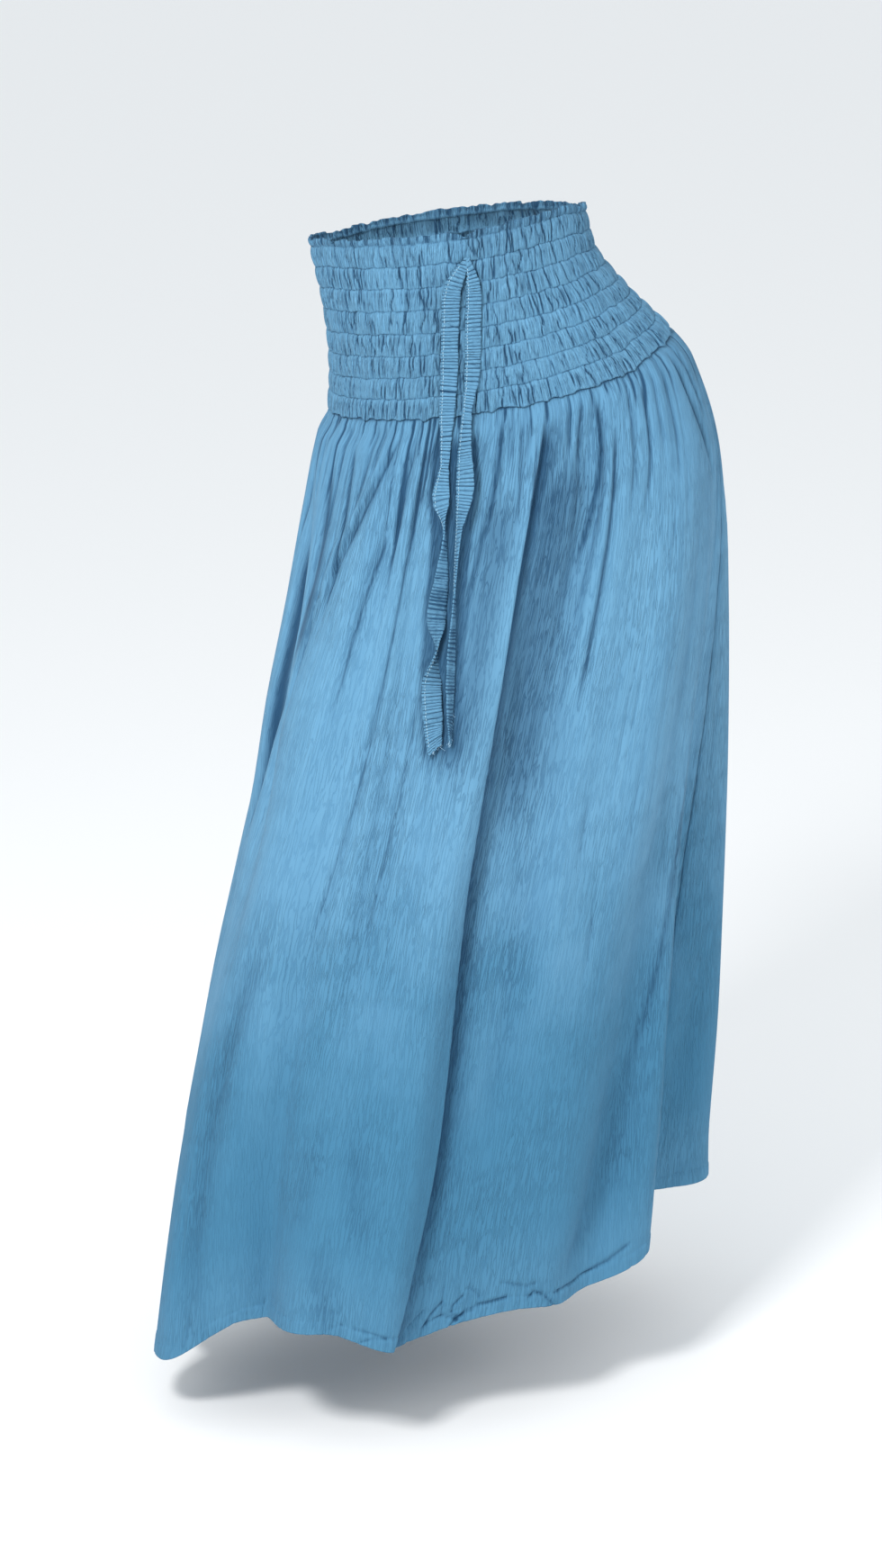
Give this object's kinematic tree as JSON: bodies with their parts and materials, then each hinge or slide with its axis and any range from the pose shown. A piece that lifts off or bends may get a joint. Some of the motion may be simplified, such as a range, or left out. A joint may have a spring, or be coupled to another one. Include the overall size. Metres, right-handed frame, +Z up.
{
  "type": "gathered maxi skirt",
  "caption": "Long gathered skirt in its worn, swung form, with a wide shirred elastic yoke, open waist and hem, and a waist tie hanging in free ends.",
  "frame": {"origin": "The middle of the waist opening, level with the yoke's top edge, where a figure holds the skirt up.", "axes": "+Z is up along the figure. The front of the skirt, with the tie, faces -Y, and +X is to the right of someone looking at the front."},
  "size_m": [0.5369, 0.4745, 1.0537],
  "materials": {
    "yoke_cloth": "crinkled light blue woven cloth, shirred on elastic thread, matt",
    "skirt_cloth": "crinkled light blue woven cloth, matt with a faint sheen",
    "tie_cloth": "crinkled light blue woven cloth, folded and edge-stitched"
  },
  "bodies": {
    "root": {"yoke_front": "yoke_cloth", "yoke_back": "yoke_cloth", "skirt_front": "skirt_cloth", "skirt_back": "skirt_cloth", "tie_left": "tie_cloth", "tie_right": "tie_cloth"}
  },
  "joints": []
}
